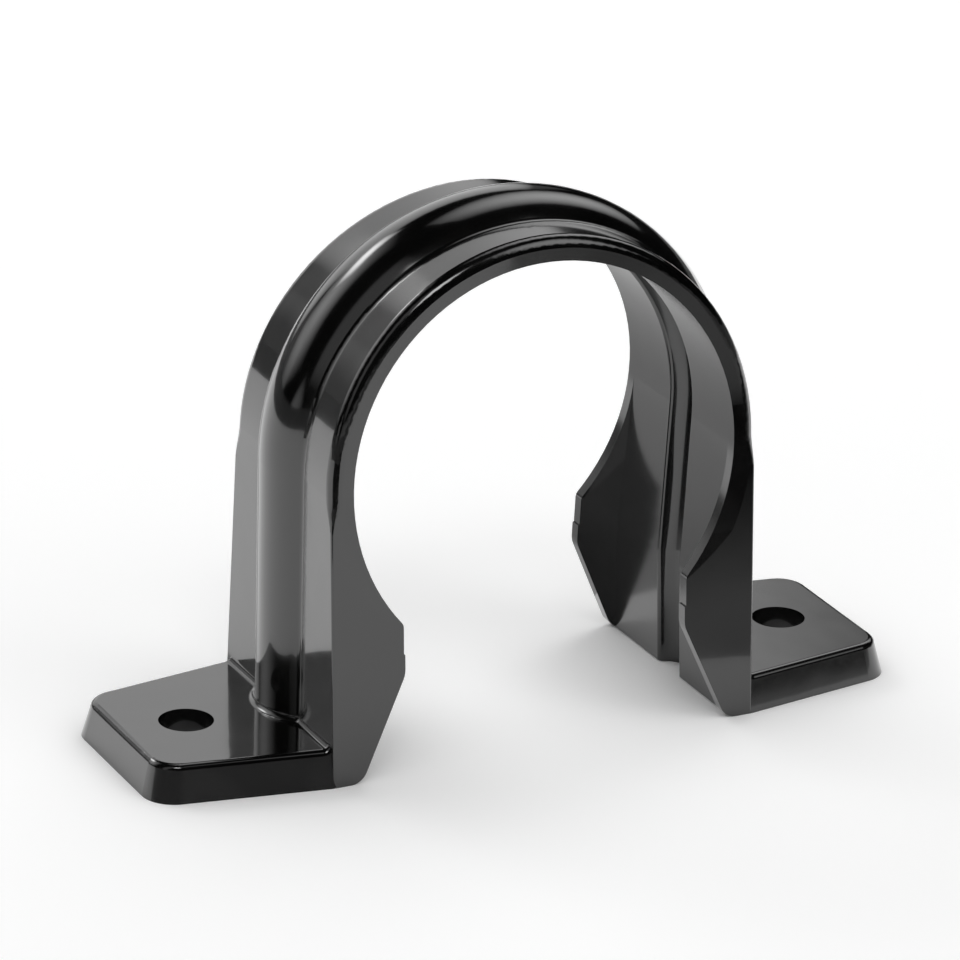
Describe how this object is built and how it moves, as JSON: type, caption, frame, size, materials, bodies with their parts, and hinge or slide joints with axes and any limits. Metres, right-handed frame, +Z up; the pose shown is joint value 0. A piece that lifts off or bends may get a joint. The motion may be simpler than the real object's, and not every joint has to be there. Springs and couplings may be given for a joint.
{
  "type": "pipe saddle clip",
  "caption": "Arched moulded plastic clip that snaps over a pipe, with a stiffening rib over its arch, gripping lips inside its legs and a screw hole in each foot.",
  "frame": {"origin": "middle of the mounting plane, half way between the screw holes and under the axis of the pipe", "axes": "+X runs along the feet, +Y along the pipe, +Z up from the mounting plane to the top of the arch"},
  "size_m": [0.085, 0.027, 0.0567],
  "materials": {
    "black_plastic": "smooth gloss black, as moulded"
  },
  "bodies": {
    "root": {"saddle_clip": "black_plastic"}
  },
  "joints": []
}
